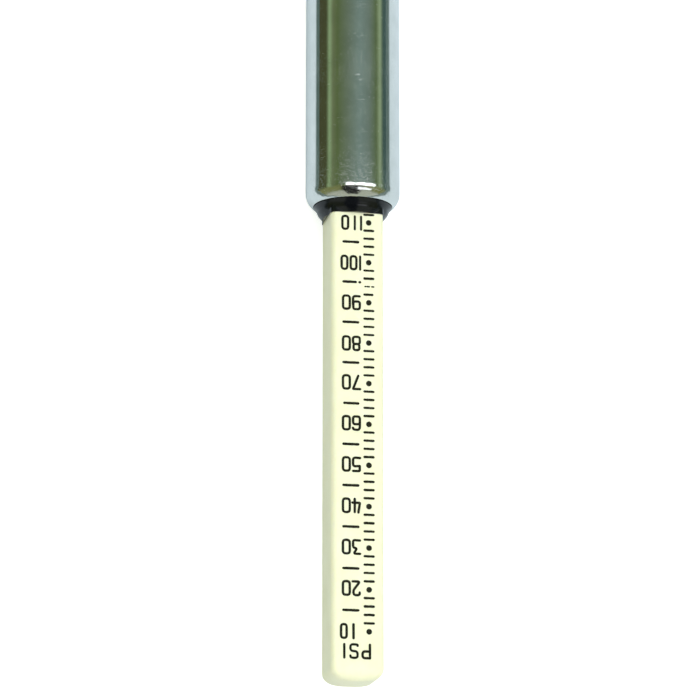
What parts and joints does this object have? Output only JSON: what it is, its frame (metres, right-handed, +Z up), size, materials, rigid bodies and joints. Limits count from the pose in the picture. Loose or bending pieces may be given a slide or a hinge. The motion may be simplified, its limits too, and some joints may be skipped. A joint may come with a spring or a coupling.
{
  "type": "tire pressure gauge",
  "caption": "Pencil tire pressure gauge with a chromed barrel, ball chuck, pocket clip and a sliding square nylon scale bar, shown extended.",
  "frame": {"origin": "on the barrel's axis, where its straight wall ends and the rolled lip begins", "axes": "+X along the barrel, the way the scale bar slides out; +Z up as the gauge lies on a bench with its scale facing up; the chuck's mouth points back and towards -Y"},
  "size_m": [0.1948, 0.019, 0.0144],
  "materials": {
    "chrome_barrel": "polished, finely scratched",
    "chrome_head": "plated die casting",
    "chrome_clip": "plated spring steel",
    "black_plastic": "gloss",
    "nylon": "smooth, slightly yellowed",
    "rubber": "matt",
    "brass": "turned",
    "plain_steel": "zinc plated",
    "spring_steel": "oiled wire"
  },
  "bodies": {
    "housing": {"head_body": "chrome_head", "chuck_gasket": "rubber", "deflator_pin": "brass", "head_oring": "rubber", "barrel": "chrome_barrel", "pocket_clip": "chrome_clip", "end_bushing": "black_plastic", "friction_spring": "spring_steel", "spring_washer": "plain_steel", "main_spring": "spring_steel"},
    "bar": {"indicator_bar": "nylon"},
    "piston": {"piston_body": "brass", "piston_cup": "rubber", "cup_spreader": "plain_steel", "piston_screw": "plain_steel"}
  },
  "joints": [
    {"name": "bar_slide", "type": "slide", "parent": "housing", "child": "bar", "axis": [1, 0, 0], "range_m": [-0.0576, 0.0052]},
    {"name": "piston_slide", "type": "slide", "parent": "housing", "child": "piston", "axis": [1, 0, 0], "range_m": [-0.0576, 0.0052], "deforming": ["main_spring"]}
  ],
  "couplings": [
    {"joint": "piston_slide", "follows": "bar_slide", "ratio": 1}
  ]
}
